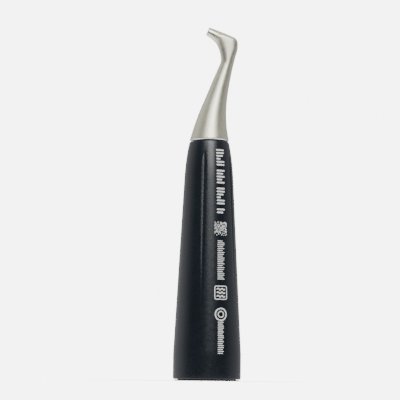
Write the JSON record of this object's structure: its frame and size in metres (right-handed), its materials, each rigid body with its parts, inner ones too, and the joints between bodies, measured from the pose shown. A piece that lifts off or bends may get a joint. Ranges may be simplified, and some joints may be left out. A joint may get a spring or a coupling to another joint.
{
  "type": "dental air polishing handpiece",
  "caption": "Air polishing handpiece: tapered fluted black grip, screw-on satin steel head with bent coaxial nozzle, water check valve and ball-latch hose socket.",
  "frame": {"origin": "centre of the rear face, on the grip's axis", "axes": "+Z along the grip towards the head; the nozzle bends towards -X; the XZ plane is the plane of symmetry"},
  "size_m": [0.022, 0.022, 0.1156],
  "materials": {
    "black_anodised": "satin black anodised aluminium, slightly blue",
    "black_ring": "black anodised, turned",
    "satin_steel": "fine bead-blasted satin stainless",
    "polished_steel": "polished",
    "bright_steel": "turned",
    "tube_steel": "drawn tube, bright",
    "spring_steel": "drawn wire",
    "brass": "turned",
    "amber_polymer": "machined natural high-temperature polymer",
    "red_silicone": "moulded silicone rubber",
    "white_marking": null,
    "black_rubber": "moulded rubber"
  },
  "bodies": {
    "handle": {"grip_sleeve": "black_anodised", "end_ring": "black_ring", "socket_liner": "bright_steel", "latch_ring": "spring_steel", "rear_block": "amber_polymer", "inlet_seal": "red_silicone", "block_seal": "black_rubber", "valve_seat": "bright_steel", "valve_spring": "spring_steel", "valve_plug": "brass", "powder_tube": "tube_steel", "water_tube": "tube_steel", "cage_rod_1": "tube_steel", "cage_rod_2": "tube_steel", "front_block": "brass", "front_gasket": "black_rubber", "port_seal": "red_silicone", "port_bush": "bright_steel"},
    "head_thread": {"head_seal_ring": "red_silicone"},
    "head": {"nozzle_head": "satin_steel", "powder_nozzle": "polished_steel", "head_powder_tube": "tube_steel", "tube_spacer": "amber_polymer"},
    "check_ball": {"valve_ball": "polished_steel"},
    "latch_ball_1": {"latch_ball_1": "polished_steel"},
    "latch_ball_2": {"latch_ball_2": "polished_steel"},
    "latch_ball_3": {"latch_ball_3": "polished_steel"}
  },
  "joints": [
    {"name": "head_lift", "type": "slide", "parent": "handle", "child": "head_thread", "axis": [0, 0, 1], "range_m": [0, 0.006]},
    {"name": "head_turn", "type": "hinge", "parent": "head_thread", "child": "head", "pos_m": [0, 0, 0.08], "axis": [0, 0, 1], "range_deg": [0, 2880]},
    {"name": "valve_lift", "type": "slide", "parent": "handle", "child": "check_ball", "axis": [0, 0, 1], "range_m": [0, 0.0008], "stiffness_N_per_m": 60, "springref_m": -0.001, "deforming": ["valve_spring"]},
    {"name": "latch_ball_1_out", "type": "slide", "parent": "handle", "child": "latch_ball_1", "axis": [0, 1, 0], "range_m": [0, 0.00045], "stiffness_N_per_m": 300, "springref_m": -0.001, "deforming": ["latch_ring"]},
    {"name": "latch_ball_2_out", "type": "slide", "parent": "handle", "child": "latch_ball_2", "axis": [-0.866, -0.5, 0], "range_m": [0, 0.00045], "stiffness_N_per_m": 300, "springref_m": -0.001},
    {"name": "latch_ball_3_out", "type": "slide", "parent": "handle", "child": "latch_ball_3", "axis": [0.866, -0.5, 0], "range_m": [0, 0.00045], "stiffness_N_per_m": 300, "springref_m": -0.001}
  ],
  "couplings": [
    {"joint": "head_lift", "follows": "head_turn", "m_per_rad": 0.00011936},
    {"joint": "latch_ball_2_out", "follows": "latch_ball_1_out", "ratio": 1},
    {"joint": "latch_ball_3_out", "follows": "latch_ball_1_out", "ratio": 1}
  ]
}
